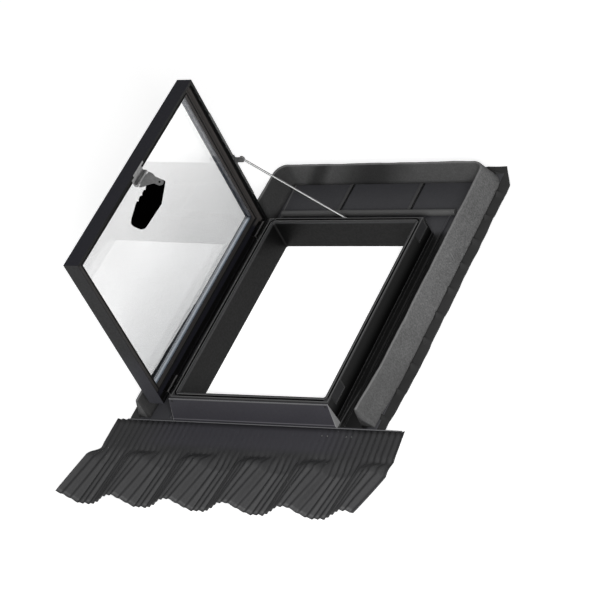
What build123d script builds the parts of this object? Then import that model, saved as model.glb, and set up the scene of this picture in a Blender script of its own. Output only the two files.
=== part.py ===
# Roof exit window: a moulded kerb with its flashing, and a side-hung double-glazed sash stood open.
# Millimetres. X runs across the roof, Y up the slope and Z out of the roof.
# The origin is the middle of the clear opening's width, half way along the rim, on the kerb's underside.
from build123d import *
import os
from math import atan2, cos, degrees, hypot, pi, radians, sin

# Kerb: a straight-walled ring whose top edge is the rim
opening_w = 460.0
opening_l = 622.0
rim_top = 95.0
rail_side = 18.0
rail_low = 21.5
rail_top = 14.5
reveal_r = 6.0
lip_w = 6.5
groove_w = 5.5
groove_depth = 6.0
fixing_r = 2.5
fixing_depth = 20.0
fixing_inset = 49.0
touch_gap = 0.3

# Leaning front cover
front_foot = 23.5
front_flare = 7.0
cover_t = 1.5
gusset_t = 6.0
gusset_count = 5
gusset_inset = 48.0

# Flashing tray round the kerb
flash_z = 27.5
tray_t = 2.0
tray_side = 122.0
tray_lap = 21.5
tray_back = 231.0
upstand_h = 12.0
upstand_t = 2.0
bead_off = 23.0
bead_r = 3.5
bead_rise = 1.6
bar_off = 78.0
bar_r = 9.0
bar_rise = 7.1
bar_over_right = 16.0
panel_ribs = (-91.5, 135.0)
rib_w = 15.0
rib_h = 3.5

# Foam wedge on three sides of the tray
foam_over = 5.0
foam_lean = 8.0
foam_crest_t = 5.0
foam_base_w = 39.0
foam_h = 70.0
foam_start = 13.0
foam_corner_r = 55.0
foam_inner_r = 20.0

# Soft flange under the foam
flange_t = 1.5
flange_side = 34.5
flange_back = 30.0
flange_start = 12.0
flange_lap = 3.0
flange_cut_x = 38.0
flange_cut_y = 73.0
fold_pitch = 88.0
fold_w = 12.0
fold_h = 5.0

# Pleated apron, dressed over the waves of the roof tiles
apron_flat = 83.0
apron_step = 54.0
apron_drop = 130.0
apron_top_left = 71.0
apron_top_right = 87.0
apron_end_left = 112.0
apron_end_right = 62.0
apron_t = 1.6
apron_gap = 0.2
pleat_count = 100
pleat_h = 3.0
wave_pitch = 179.5
wave_crest_x = 51.5
crest_rise = 18.0
valley_drop = 20.0
valley_share = 0.3

# Sash, drawn upright over the hinge axis and then turned to its lean: first the distance from the axis,
# then the depth outwards
sash_lean = 1.5
hinge_off = 16.0
hinge_drop = 18.0
sash_over_side = 11.4
sash_over_top = 13.0
skirt_edge = 3.0
skirt_t = 7.5
skirt_low_t = 2.0
skirt_low_gap = 0.6
sash_roof = 47.0
roof_t = 3.0
web_in = 17.0
web_t = 2.0
ledge_w = 12.0
ledge_t = 3.0
hinge_extra = 8.0
glass_gap = 1.0
pane_t = 4.0
spacer_h = 14.0
gasket_t = 1.0
spacer_w = 6.0
cap_t = 3.0
cap_w = 30.0
seal_w = 2.5
seal_h = 2.3
seal_off = 2.0
seal_gap = 0.2

# Hinges
hinge_low_in = 54.5
hinge_high_in = 36.0
leaf_l = 57.0
leaf_t = 2.5
knuckle_r = 4.5
knuckle_end = 14.0
shoulder_gap = 1.5
pin_r = 2.0
pin_play = 0.05
pocket_t = 2.7
pocket_h = 30.0
pocket_play = 1.0
leaf_reach = 16.0

# Stay: a shoe on a track, with a rod down to the kerb's top wall
track_w = 6.0
track_t = 2.5
track_start = 106.0
track_stop = 118.4
track_groove = 2.0
track_land = 12.0
shoe_u = 235.3
shoe_l = 28.0
shoe_t = 3.2
shoe_gap = 0.3
lug_t = 2.0
lug_r = 9.0
lug_reach = 22.0
stay_pin_r = 2.5
stay_head_r = 4.5
stay_head_t = 1.2
rod_r = 3.0
eye_r = 6.5
eye_t = 5.4
foot_x = 12.0
foot_drop = 35.0
foot_r = 6.0
guide_h = 16.0
guide_t = 2.5
guide_l = 242.0

# Latch: a hinged hasp with a notched grip hanging from its tip
latch_y = 13.0
latch_l = 56.0
latch_plate_t = 1.5
latch_foot_l = 27.0
barrel_up = 8.5
barrel_r = 4.0
ear_l = 10.0
latch_pin_r = 1.5
hasp_tilt = 32.7
hasp_l = 45.7
hasp_t = 2.0
hasp_root = 6.0
hasp_shoulder_up = 19.0
hasp_shoulder_low = 10.0
hasp_waist = 29.0
hasp_waist_low = 16.0
hasp_tip_r = 10.5
rivet_side = 11.5
rivet_pin_r = 3.0
rivet_head_r = 5.0
rivet_head_t = 1.0
grip_t = 14.0
grip_top = 12.0
grip_neck = 12.0
grip_bulge = 31.0
grip_bulge_at = 50.0
grip_left = 25.0
grip_left_at = 88.0
grip_end = 149.0
grip_end_left = 12.0
grip_end_right = 27.0
grip_end_r = 15.0
grip_top_r = 7.0
notch_r = 7.0
notch_depth = 4.0
notch_places = (-35.0, -56.0, -77.0)
keep_below = 56.0
keep_z = 70.0
keep_l = 60.0
keep_h = 30.0
keep_t = 2.5
keep_pin_r = 4.0
keep_pin_l = 8.0

# Values worked out from the sizes above
rim_w = opening_w + 2 * rail_side
rim_l = opening_l + rail_low + rail_top
opening_y = (rail_low - rail_top) / 2
wall_l = -rim_w / 2
wall_top = rim_l / 2
tray_half_w = rim_w / 2 + tray_side
tray_top = wall_top + tray_back
foam_in = tray_half_w + foam_over - foam_base_w
foam_top_in = tray_top + foam_over - foam_base_w
foam_front = wall_top + foam_start
bead_x = rim_w / 2 + bead_off
bar_y = wall_top + bar_off
apron_top_y = wall_top + front_foot + apron_gap
hinge_x = wall_l - hinge_off
hinge_z = rim_top - hinge_drop
hinge_places = {"lower": hinge_low_in - wall_top, "upper": wall_top - hinge_high_in}
sash_u = -hinge_x
sash_w = rim_w + 2 * sash_over_side
sash_top = wall_top + sash_over_top
sash_far = sash_u + sash_w / 2
sash_plane = Plane(origin=(hinge_x, 0, hinge_z), x_dir=(0, 0, 1), z_dir=(-1, 0, 0))
ledge_z = hinge_drop + seal_gap + seal_h
ledge_in = web_in + web_t + ledge_w
glass_in = web_in + web_t + glass_gap
inner_pane = ledge_z + ledge_t + gasket_t
spacer_z = inner_pane + pane_t
outer_pane = spacer_z + spacer_h
foot_z = rim_top - foot_drop
latch_foot_u = sash_far - web_in - touch_gap
barrel_u = latch_foot_u - latch_foot_l + barrel_r
barrel_w = ledge_z - barrel_up
rivet_y = latch_y + rivet_side
keep_y = rivet_y - keep_below
os.makedirs("parts", exist_ok=True)


def save(piece, name, lean=0.0):
    """Turn a finished piece about the hinge by its lean, label it and write it under its own name."""
    placed = piece.part.rotate(Axis((hinge_x, 0, hinge_z), (0, 1, 0)), lean)
    placed.label = name
    export_step(placed, f"parts/{name}.step")


def inner_rectangle(inset, mode=Mode.ADD):
    """A rectangle set in from the sash's edge, and further in along the hinge side."""
    with Locations((sash_u + hinge_extra / 2, sash_mid)):
        Rectangle(sash_w - 2 * inset - hinge_extra, sash_l - 2 * inset, mode=mode)


def opening_rectangle(grow, mode=Mode.ADD):
    """The clear opening's outline, grown on every side."""
    with Locations((0, opening_y)):
        RectangleRounded(opening_w + 2 * grow, opening_l + 2 * grow, reveal_r + grow, mode=mode)


def front_y(z):
    """Outer face of the leaning front at a height, measured as a distance down the slope."""
    return wall_top + cover_t + (front_foot - cover_t) * (rim_top - z) / (rim_top - flash_z)


# The sash's lower edge clears the leaning cover where its skirt passes over it
sash_low = front_y(hinge_z + skirt_edge) + skirt_low_gap + skirt_low_t
sash_l = sash_top + sash_low
sash_mid = (sash_top - sash_low) / 2

# Kerb, with a groove round its rim, fixing holes below, hinge pockets on both sides and front gussets
with BuildPart() as frame_body:
    with BuildSketch():
        Rectangle(rim_w, rim_l)
        opening_rectangle(0, Mode.SUBTRACT)
    extrude(amount=rim_top)
    with BuildSketch(Plane.XY.offset(rim_top)):
        opening_rectangle(lip_w + groove_w)
        opening_rectangle(lip_w, Mode.SUBTRACT)
    extrude(amount=-groove_depth, mode=Mode.SUBTRACT)
    with BuildSketch():
        with GridLocations(rim_w - rail_side, rim_l - 2 * fixing_inset, 2, 2):
            Circle(fixing_r)
    extrude(amount=fixing_depth, mode=Mode.SUBTRACT)
    pocket_x = rim_w / 2 - pocket_t / 2
    with Locations(*[(s * pocket_x, y, rim_top) for s in (-1, 1) for y in hinge_places.values()]):
        Box(
            pocket_t,
            leaf_l + 2 * pocket_play,
            2 * pocket_h,
            mode=Mode.SUBTRACT,
        )
    gusset_low = flash_z + upstand_h + 1
    gusset_y = front_y(gusset_low) - 2 * cover_t
    for i in range(gusset_count):
        gusset_x = (rim_w / 2 - gusset_inset) * (2 * i / (gusset_count - 1) - 1)
        with BuildSketch(Plane.YZ.offset(gusset_x)):
            with BuildLine():
                Polyline(
                    (-wall_top, gusset_low),
                    (-gusset_y, gusset_low),
                    (-wall_top, rim_top - 2 * groove_depth),
                    close=True,
                )
            make_face()
        extrude(amount=gusset_t / 2, both=True)
save(frame_body, "frame_body")

# Front cover: a bent sheet shell with a leaning face and two flared cheeks
with BuildPart() as front_cover:
    for t, over, mode in ((0, 0, Mode.ADD), (cover_t, 1, Mode.SUBTRACT)):
        with BuildSketch(Plane.XY.offset(flash_z)):
            with Locations((0, -(wall_top + (front_foot - t - over) / 2))):
                Rectangle(rim_w + 2 * front_flare - 2 * t, front_foot - t + over)
        with BuildSketch(Plane.XY.offset(rim_top)):
            with Locations((0, -(wall_top + (cover_t - t - over) / 2))):
                Rectangle(rim_w - 2 * t, cover_t - t + over)
        loft(mode=mode)
save(front_cover, "front_cover")

# Flashing tray: a plate with an upstand round the kerb, gutter beads and two folds up-slope
with BuildPart() as flashing_tray:
    with BuildSketch(Plane.XY.offset(flash_z - tray_t)):
        tray_front = wall_top + front_foot + tray_lap
        with Locations((0, (tray_top - tray_front) / 2)):
            Rectangle(2 * tray_half_w, tray_top + tray_front)
        Rectangle(rim_w, rim_l, mode=Mode.SUBTRACT)
    extrude(amount=tray_t)
    with BuildSketch(Plane.XY.offset(flash_z - tray_t)):
        Rectangle(rim_w + 2 * upstand_t, rim_l + 2 * upstand_t)
        Rectangle(rim_w, rim_l, mode=Mode.SUBTRACT)
    extrude(amount=tray_t + upstand_h)
    with BuildSketch(Plane.XZ.offset(foam_front)):
        with Locations((bead_x, flash_z + bead_rise), (-bead_x, flash_z + bead_rise)):
            Circle(bead_r)
    extrude(amount=-(foam_front + bar_y))
    with BuildSketch(Plane.YZ.offset(-bead_x)):
        with Locations((bar_y, flash_z + bar_rise)):
            Circle(bar_r)
    extrude(amount=2 * bead_x + bar_over_right)
    for x in panel_ribs:
        with BuildSketch(Plane.XZ.offset(-bar_y)):
            with BuildLine():
                Polyline((x - rib_w, flash_z), (x, flash_z + rib_h), (x, flash_z), close=True)
            make_face()
        extrude(amount=-(foam_top_in - bar_y - touch_gap))
save(flashing_tray, "flashing_tray")

# Foam seal: a wedge with a steep inner face and a sloping outer one, on three sides
with BuildPart() as foam_seal:
    crest_lean = foam_lean + foam_crest_t
    for half, top, lean, corner, over, mode in (
        (foam_in + foam_base_w, foam_top_in + foam_base_w, crest_lean - foam_base_w, foam_corner_r, 0, Mode.ADD),
        (foam_in, foam_top_in, foam_lean, foam_inner_r, 1, Mode.SUBTRACT),
    ):
        for z, grow in ((flash_z, 0), (flash_z + foam_h, lean)):
            with BuildSketch(Plane.XY.offset(z)) as outline:
                with Locations((0, (top + grow - foam_front - over) / 2)):
                    Rectangle(2 * (half + grow), top + grow + foam_front + over)
                fillet(outline.vertices().group_by(Axis.Y)[-1], corner)
        loft(mode=mode)
save(foam_seal, "foam_seal")

# Soft flange under the foam, with folds across it
with BuildPart() as underlay_flange:
    flange_z = flash_z - tray_t
    flange_half_w = tray_half_w + flange_side
    flange_top = tray_top + flange_back
    flange_front = foam_front - flange_start
    fold_x = foam_in + foam_base_w + touch_gap
    with BuildSketch(Plane.XY.offset(flange_z - flange_t)):
        with BuildLine():
            Polyline(
                (-flange_half_w, -flange_front),
                (-flange_half_w, flange_top - flange_cut_y),
                (-flange_half_w + flange_cut_x, flange_top),
                (flange_half_w - flange_cut_x, flange_top),
                (flange_half_w, flange_top - flange_cut_y),
                (flange_half_w, -flange_front),
                close=True,
            )
        make_face()
        with Locations((0, (foam_top_in - flange_lap - flange_front) / 2 - 1)):
            Rectangle(
                2 * (foam_in - flange_lap),
                foam_top_in - flange_lap + flange_front + 2,
                mode=Mode.SUBTRACT,
            )
    extrude(amount=flange_t)
    for side in (-1, 1):
        for i in range(int((flange_top - flange_cut_y + flange_front - fold_w) / fold_pitch) + 1):
            y = -flange_front + fold_w + i * fold_pitch
            with BuildSketch(Plane.YZ.offset(side * fold_x)):
                with BuildLine():
                    Polyline((y - fold_w / 2, flange_z), (y, flange_z + fold_h), (y + fold_w / 2, flange_z), close=True)
                make_face()
            extrude(amount=side * (flange_half_w - flange_t - fold_x))
save(underlay_flange, "underlay_flange")


def apron_edges(y):
    """Left and right ends of the apron at one distance down the slope."""
    share = (y - apron_top_y) / (apron_flat + apron_step + apron_drop)
    left = tray_half_w + apron_top_left + share * (apron_end_left - apron_top_left)
    right = tray_half_w + apron_top_right + share * (apron_end_right - apron_top_right)
    return -left, right


def pleats(y, rise, drop):
    """Outline of the pleated sheet at one distance down the slope, as zigzag points there and back."""
    left, right = apron_edges(y)
    z_low = flash_z + apron_gap + pleat_h / 2
    low = []
    for i in range(2 * pleat_count + 1):
        x = left + (right - left) * i / (2 * pleat_count)
        wave = (1 + cos(2 * pi * (x - wave_crest_x) / wave_pitch)) / 2
        low.append((x, z_low + rise * wave - drop * (1 - wave) + pleat_h / 2 * (-1) ** i))
    return low + [(x, z + apron_t) for x, z in reversed(low)]


# Apron: fine pleats all over, flat under the cover, then dressed over the tiles' crests and valleys
with BuildPart() as apron:
    for down, rise, drop in (
        (0, 0, 0),
        (apron_flat, 0, 0),
        (apron_flat + apron_step, crest_rise, valley_drop * valley_share),
        (apron_flat + apron_step + apron_drop, crest_rise, valley_drop),
    ):
        with BuildSketch(Plane.XZ.offset(apron_top_y + down)):
            with BuildLine():
                Polyline(*pleats(apron_top_y + down, rise, drop), close=True)
            make_face()
    loft(ruled=True)
save(apron, "apron")

# Sash frame: an outer skirt, a deep recess for the rim, and a ledge that carries the glass
with BuildPart() as sash_frame:
    with BuildSketch(sash_plane.offset(skirt_edge)):
        with Locations((sash_u, sash_mid)):
            Rectangle(sash_w, sash_l)
        with Locations((sash_u, sash_mid - (skirt_t - skirt_low_t) / 2)):
            Rectangle(sash_w - 2 * skirt_t, sash_l - skirt_t - skirt_low_t, mode=Mode.SUBTRACT)
    extrude(amount=sash_roof - skirt_edge)
    with BuildSketch(sash_plane.offset(sash_roof - roof_t)):
        with Locations((sash_u, sash_mid)):
            Rectangle(sash_w, sash_l)
        inner_rectangle(web_in + web_t, Mode.SUBTRACT)
    extrude(amount=roof_t)
    with BuildSketch(sash_plane.offset(ledge_z)):
        inner_rectangle(web_in)
        inner_rectangle(web_in + web_t, Mode.SUBTRACT)
    extrude(amount=sash_roof - ledge_z)
    with BuildSketch(sash_plane.offset(ledge_z)):
        inner_rectangle(web_in)
        inner_rectangle(ledge_in, Mode.SUBTRACT)
    extrude(amount=ledge_t)
save(sash_frame, "sash_frame", sash_lean)

# Outer cap of the sash, which holds the glass down
with BuildPart() as sash_cap:
    with BuildSketch(sash_plane.offset(sash_roof)):
        with Locations((sash_u, sash_mid)):
            Rectangle(sash_w, sash_l)
        inner_rectangle(cap_w, Mode.SUBTRACT)
    extrude(amount=cap_t)
    chamfer(sash_cap.faces().sort_by(Axis.X)[0].outer_wire().edges(), cap_t / 2)
save(sash_cap, "sash_cap", sash_lean)

# Glass: an inner and an outer pane, each a plain sheet
for name, depth in (("glass_inner", inner_pane), ("glass_outer", outer_pane)):
    with BuildPart() as pane:
        with BuildSketch(sash_plane.offset(depth)):
            inner_rectangle(glass_in)
        extrude(amount=pane_t)
    save(pane, name, sash_lean)

# Rings round the glass: the spacer between the panes, the bedding gasket and the one under the cap
for name, depth, height, width in (
    ("glazing_spacer", spacer_z, spacer_h, spacer_w),
    ("inner_gasket", ledge_z + ledge_t, gasket_t, ledge_w - glass_gap),
    ("outer_gasket", outer_pane + pane_t, sash_roof - outer_pane - pane_t, cap_w - glass_in),
):
    with BuildPart() as ring:
        with BuildSketch(sash_plane.offset(depth)):
            inner_rectangle(glass_in)
            inner_rectangle(glass_in + width, Mode.SUBTRACT)
        extrude(amount=height)
    save(ring, name, sash_lean)

# Rim seal under the ledge, broken where the latch foot crosses it
with BuildPart() as rim_seal:
    with BuildSketch(sash_plane.offset(ledge_z - seal_h)):
        with Locations((sash_u, opening_y)):
            Rectangle(opening_w + 2 * (seal_off + seal_w), opening_l + 2 * (seal_off + seal_w))
            Rectangle(opening_w + 2 * seal_off, opening_l + 2 * seal_off, mode=Mode.SUBTRACT)
        with Locations((latch_foot_u, latch_y)):
            Rectangle(4 * rail_side, latch_l + 2, mode=Mode.SUBTRACT)
    extrude(amount=seal_h)
save(rim_seal, "rim_seal", sash_lean)

# Hinges: each has a kerb leaf sunk in its pocket, riveted to its pin, and a cranked sash leaf
for place, y_mid in hinge_places.items():
    y_low = y_mid - leaf_l / 2
    middle = leaf_l - 2 * knuckle_end
    pocket_low = rim_top - pocket_h
    with BuildPart() as frame_leaf:
        with BuildSketch(Plane.XZ.offset(-y_low)):
            with BuildLine():
                Polyline(
                    (wall_l + pocket_t, pocket_low + pocket_play),
                    (wall_l, pocket_low + pocket_play),
                    (wall_l, rim_top - touch_gap),
                    (wall_l + pocket_t, rim_top - touch_gap),
                    close=True,
                )
            make_face()
        extrude(amount=-leaf_l)
        for y_from in (y_low, y_low + leaf_l - knuckle_end):
            with BuildSketch(Plane.XZ.offset(-y_from)):
                with Locations((hinge_x, hinge_z)):
                    Circle(knuckle_r)
                with Locations(((hinge_x + wall_l) / 2, hinge_z - knuckle_r + leaf_t / 2)):
                    Rectangle(wall_l - hinge_x, leaf_t)
            extrude(amount=-knuckle_end)
        with BuildSketch(Plane.XZ.offset(-y_low)):
            with Locations((hinge_x, hinge_z)):
                Circle(pin_r)
        extrude(amount=-leaf_l)
    save(frame_leaf, f"hinge_{place}_frame_leaf")

    with BuildPart() as sash_leaf:
        skirt_in = sash_u - sash_w / 2 + skirt_t
        arm_w = skirt_edge - touch_gap
        with BuildSketch(Plane.XZ.offset(-(y_low + knuckle_end + touch_gap))):
            with Locations((hinge_x, hinge_z)):
                Circle(knuckle_r)
            with Locations((hinge_x - arm_w + leaf_t / 2, hinge_z + (skirt_in + leaf_t) / 2)):
                Rectangle(leaf_t, skirt_in + leaf_t)
            with Locations((hinge_x, hinge_z)):
                Circle(pin_r + pin_play, mode=Mode.SUBTRACT)
        extrude(amount=-(middle - 2 * touch_gap))
        shoulder = knuckle_r + shoulder_gap
        with BuildSketch(Plane.XZ.offset(-y_low)):
            with BuildLine():
                Polyline(
                    (hinge_x - arm_w + leaf_t, hinge_z + shoulder),
                    (hinge_x - arm_w + leaf_t, hinge_z + skirt_in + leaf_t),
                    (hinge_x - arm_w - leaf_reach, hinge_z + skirt_in + leaf_t),
                    (hinge_x - arm_w - leaf_reach, hinge_z + skirt_in),
                    (hinge_x - arm_w, hinge_z + skirt_in),
                    (hinge_x - arm_w, hinge_z + shoulder),
                    close=True,
                )
            make_face()
        extrude(amount=-leaf_l)
    save(sash_leaf, f"hinge_{place}_sash_leaf", sash_lean)

# Stay track: a grooved strip along the edge of the sash's top skirt
track_y = sash_top - skirt_t / 2
track_end = sash_far - track_stop
with BuildPart() as stay_track:
    with BuildSketch(sash_plane.offset(skirt_edge - track_t)):
        with Locations(((track_start + track_end) / 2, track_y)):
            Rectangle(track_end - track_start, track_w)
    extrude(amount=track_t)
    with BuildSketch(sash_plane.offset(skirt_edge - track_t)):
        with Locations(((track_start + track_end) / 2, track_y)):
            Rectangle(track_end - track_start - 2 * track_land, track_groove)
    extrude(amount=track_t / 2, mode=Mode.SUBTRACT)
save(stay_track, "stay_track", sash_lean)
# Stay shoe: a slider with an upright lug that carries the rod's pin
lug_y = track_y - track_w / 2
shoe_top = skirt_edge - track_t - shoe_gap
with BuildPart() as stay_shoe:
    with BuildSketch(sash_plane.offset(shoe_top)):
        with Locations((shoe_u, track_y)):
            Rectangle(shoe_l, track_w)
    extrude(amount=-shoe_t)
    with BuildSketch(Plane.XZ.offset(-lug_y)):
        with Locations((hinge_x + lug_reach, hinge_z + shoe_u)):
            Circle(lug_r)
        with Locations((hinge_x + (lug_reach - shoe_top) / 2, hinge_z + shoe_u)):
            Rectangle(lug_reach + shoe_top, 2 * lug_r)
        with Locations((hinge_x + lug_reach, hinge_z + shoe_u)):
            Circle(stay_pin_r, mode=Mode.SUBTRACT)
    extrude(amount=-lug_t)
save(stay_shoe, "stay_shoe", sash_lean)

# Stay pin, riveted in the lug, with a head that keeps the rod on
rod_y = lug_y + lug_t + shoe_gap + rod_r
eye_y = rod_y - eye_t / 2
with BuildPart() as stay_pin:
    with BuildSketch(Plane.XZ.offset(-lug_y)):
        with Locations((hinge_x + lug_reach, hinge_z + shoe_u)):
            Circle(stay_pin_r)
    extrude(amount=-(eye_y + eye_t + shoe_gap - lug_y))
    with BuildSketch(Plane.XZ.offset(-(eye_y + eye_t + shoe_gap))):
        with Locations((hinge_x + lug_reach, hinge_z + shoe_u)):
            Circle(stay_head_r)
    extrude(amount=-stay_head_t)
save(stay_pin, "stay_pin", sash_lean)

# Stay rod: round bar with an eye on the pin and a flat foot that rides along the guide
lean = radians(sash_lean)
rod_x = hinge_x + lug_reach * cos(lean) + shoe_u * sin(lean)
rod_z = hinge_z - lug_reach * sin(lean) + shoe_u * cos(lean)
rod_l = hypot(foot_x - rod_x, foot_z - rod_z)
rod_dir = ((foot_x - rod_x) / rod_l, 0, (foot_z - rod_z) / rod_l)
with BuildPart() as stay_rod:
    with BuildSketch(Plane(origin=(rod_x, rod_y, rod_z), z_dir=rod_dir).offset(eye_r)):
        Circle(rod_r)
    extrude(amount=rod_l - eye_r)
    with BuildSketch(Plane.XZ.offset(-eye_y)):
        with Locations((rod_x, rod_z)):
            Circle(eye_r + rod_r / 2)
    extrude(amount=-eye_t)
    with BuildSketch(Plane.XZ.offset(-(wall_top + guide_t + shoe_gap))):
        with Locations((foot_x, foot_z)):
            Circle(foot_r)
    extrude(amount=-(rod_y - wall_top - guide_t - shoe_gap))
    with BuildSketch(Plane.XZ.offset(-eye_y)):
        with Locations((rod_x, rod_z)):
            Circle(stay_pin_r + pin_play)
    extrude(amount=-eye_t, mode=Mode.SUBTRACT)
save(stay_rod, "stay_rod")

# Stay guide on the outside of the kerb's top wall
with BuildPart() as stay_guide:
    with BuildSketch(Plane.XZ.offset(-wall_top)):
        with Locations((guide_l / 2, foot_z)):
            Rectangle(guide_l, guide_h)
    extrude(amount=-guide_t)
save(stay_guide, "stay_guide")

# Latch foot on the ledge, with two ears that hold the hasp's pin
with BuildPart() as latch_base:
    with BuildSketch(sash_plane.offset(ledge_z - latch_plate_t)):
        with Locations(((barrel_u - barrel_r + latch_foot_u) / 2, latch_y)):
            Rectangle(latch_foot_u - barrel_u + barrel_r, latch_l)
    extrude(amount=latch_plate_t)
    for y in (latch_y - latch_l / 2, latch_y + latch_l / 2 - ear_l):
        with BuildSketch(Plane.XZ.offset(-y)):
            with Locations((hinge_x - barrel_w, hinge_z + barrel_u)):
                Circle(barrel_r)
            with Locations((hinge_x - (barrel_w + ledge_z) / 2, hinge_z + barrel_u)):
                Rectangle(ledge_z - barrel_w, 2 * barrel_r)
            with Locations((hinge_x - barrel_w, hinge_z + barrel_u)):
                Circle(latch_pin_r + pin_play, mode=Mode.SUBTRACT)
        extrude(amount=-ear_l)
save(latch_base, "latch_base", sash_lean)

# Hasp: a barrel and a plate that narrows to the rivet
hasp_x = hinge_x - barrel_w
hasp_z = hinge_z + barrel_u
tilt = radians(hasp_tilt)
hasp_plane = Plane(
    origin=(hasp_x, latch_y, hasp_z),
    x_dir=(cos(tilt), 0, -sin(tilt)),
    z_dir=(sin(tilt), 0, cos(tilt)),
)
hasp_mid = latch_l - 2 * ear_l - 2 * touch_gap
with BuildPart() as latch_hasp:
    with BuildSketch(Plane.XZ.offset(-(latch_y - hasp_mid / 2))):
        with Locations((hasp_x, hasp_z)):
            Circle(barrel_r)
            Circle(latch_pin_r + pin_play, mode=Mode.SUBTRACT)
    extrude(amount=-hasp_mid)
    with BuildSketch(hasp_plane.offset(-hasp_t / 2)):
        with BuildLine():
            Polyline(
                (barrel_r - 1, -hasp_mid / 2),
                (hasp_root, -hasp_mid / 2),
                (hasp_root, -latch_l / 2),
                (hasp_shoulder_low, -latch_l / 2),
                (hasp_waist, rivet_side - hasp_waist_low),
                (hasp_l - hasp_tip_r, rivet_side - hasp_tip_r),
                (hasp_l - hasp_tip_r, rivet_side + hasp_tip_r),
                (hasp_waist, rivet_side + hasp_tip_r),
                (hasp_shoulder_up, latch_l / 2),
                (hasp_root, latch_l / 2),
                (hasp_root, hasp_mid / 2),
                (barrel_r - 1, hasp_mid / 2),
                close=True,
            )
        make_face()
        with Locations((hasp_l, rivet_side)):
            Circle(hasp_tip_r)
            Rectangle(2 * hasp_tip_r, 2 * hasp_tip_r, align=(Align.MAX, Align.CENTER))
            Circle(rivet_pin_r, mode=Mode.SUBTRACT)
    extrude(amount=hasp_t)
save(latch_hasp, "latch_hasp", sash_lean)
with BuildPart() as latch_pin:
    with BuildSketch(Plane.XZ.offset(-(latch_y - latch_l / 2))):
        with Locations((hasp_x, hasp_z)):
            Circle(latch_pin_r)
    extrude(amount=-latch_l)
save(latch_pin, "latch_pin", sash_lean)

# Grip: a flat moulded handle with three notches on the edge towards the sash
grip_plane = Plane(
    origin=hasp_plane.from_local_coords((hasp_l, rivet_side, 0)),
    x_dir=hasp_plane.x_dir,
    z_dir=hasp_plane.z_dir,
)
grip_top_face = hasp_t / 2 + shoe_gap
with BuildPart() as grip:
    with BuildSketch(grip_plane.offset(-grip_top_face)) as grip_outline:
        with BuildLine():
            Polyline(
                (-grip_neck, grip_top),
                (grip_neck, grip_top),
                (grip_bulge, -grip_bulge_at),
                (grip_end_right, -grip_end),
                (-grip_end_left, -grip_end),
                (-grip_left, -grip_left_at),
                (-grip_left, -grip_left),
                close=True,
            )
        make_face()
        fillet(grip_outline.vertices().group_by(Axis.Y)[0], grip_end_r)
        fillet(grip_outline.vertices().group_by(Axis.Y)[-1], grip_top_r)
        with Locations(*[(notch_depth - grip_left - notch_r, a) for a in notch_places]):
            Circle(notch_r, mode=Mode.SUBTRACT)
        Circle(rivet_pin_r + pin_play, mode=Mode.SUBTRACT)
    extrude(amount=-grip_t)
save(grip, "grip", sash_lean)
with BuildPart() as grip_rivet:
    with BuildSketch(grip_plane.offset(hasp_t / 2)):
        Circle(rivet_pin_r)
    extrude(amount=-(hasp_t + shoe_gap + grip_t + shoe_gap))
    with BuildSketch(grip_plane.offset(-(grip_top_face + grip_t + shoe_gap))):
        Circle(rivet_head_r)
    extrude(amount=-rivet_head_t)
save(grip_rivet, "grip_rivet", sash_lean)

# Keep on the right reveal, with a stub that the notches drop onto
with BuildPart() as latch_keep:
    with BuildSketch(Plane.YZ.offset(opening_w / 2)):
        with Locations((keep_y, keep_z)):
            Rectangle(keep_l, keep_h)
    extrude(amount=-keep_t)
    with BuildSketch(Plane.YZ.offset(opening_w / 2 - keep_t)):
        with Locations((keep_y, keep_z)):
            Circle(keep_pin_r)
    extrude(amount=-keep_pin_l)
save(latch_keep, "latch_keep")
print("rod length", round(rod_l, 1), "rest angle", round(degrees(atan2(rod_z - foot_z, foot_x - rod_x)), 2))
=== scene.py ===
from math import cos, pi, radians, sin

import bmesh
import bpy
import numpy as np
from mathutils import Matrix, Vector


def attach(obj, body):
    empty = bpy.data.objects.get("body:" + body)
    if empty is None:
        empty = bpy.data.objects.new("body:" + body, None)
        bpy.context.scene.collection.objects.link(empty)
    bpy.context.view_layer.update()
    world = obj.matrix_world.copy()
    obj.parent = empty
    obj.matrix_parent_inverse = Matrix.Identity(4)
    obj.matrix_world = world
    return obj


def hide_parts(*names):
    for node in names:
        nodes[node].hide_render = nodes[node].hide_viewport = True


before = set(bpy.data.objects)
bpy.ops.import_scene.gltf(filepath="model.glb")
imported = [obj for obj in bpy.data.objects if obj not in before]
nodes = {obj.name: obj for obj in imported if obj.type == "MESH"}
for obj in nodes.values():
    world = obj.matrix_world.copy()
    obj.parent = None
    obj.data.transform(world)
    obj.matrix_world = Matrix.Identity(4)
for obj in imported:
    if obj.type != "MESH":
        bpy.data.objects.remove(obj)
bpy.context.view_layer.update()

scene = bpy.context.scene
mm = 0.001

# The open sash: its hinge axis, its lean from upright, its outline from that axis and its inner edges
hinge_x, hinge_z, lean = -264.0, 77.0, radians(1.5)
sash_near, sash_far, sash_top, sash_low = 4.6, 523.4, 342.0, -338.0
skirt_depth, ledge_depth = 3.35, 20.15

# The kerb: half sizes of the clear opening and its centre up the slope, then distances out from the
# opening to the two lips of the rim, to the groove between them and to the outer wall
opening_half_w, opening_half_l, opening_y = 230.0, 311.0, 3.5
inner_lip, groove, outer_lip, outer_face = 4.6, 9.25, 14.2, 16.0
groove_half, lip_half, rim_z = 3.1, 1.1, 94.5

# The front cover: its inner edge, its face, its fold near the foot and the edge of its cheeks at z = 0
cover_inner_y, cover_face_y, cover_fold_z = -326.0, -331.0, 37.2
cheek_x, cheek_lean = 257.5, 0.083

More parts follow.
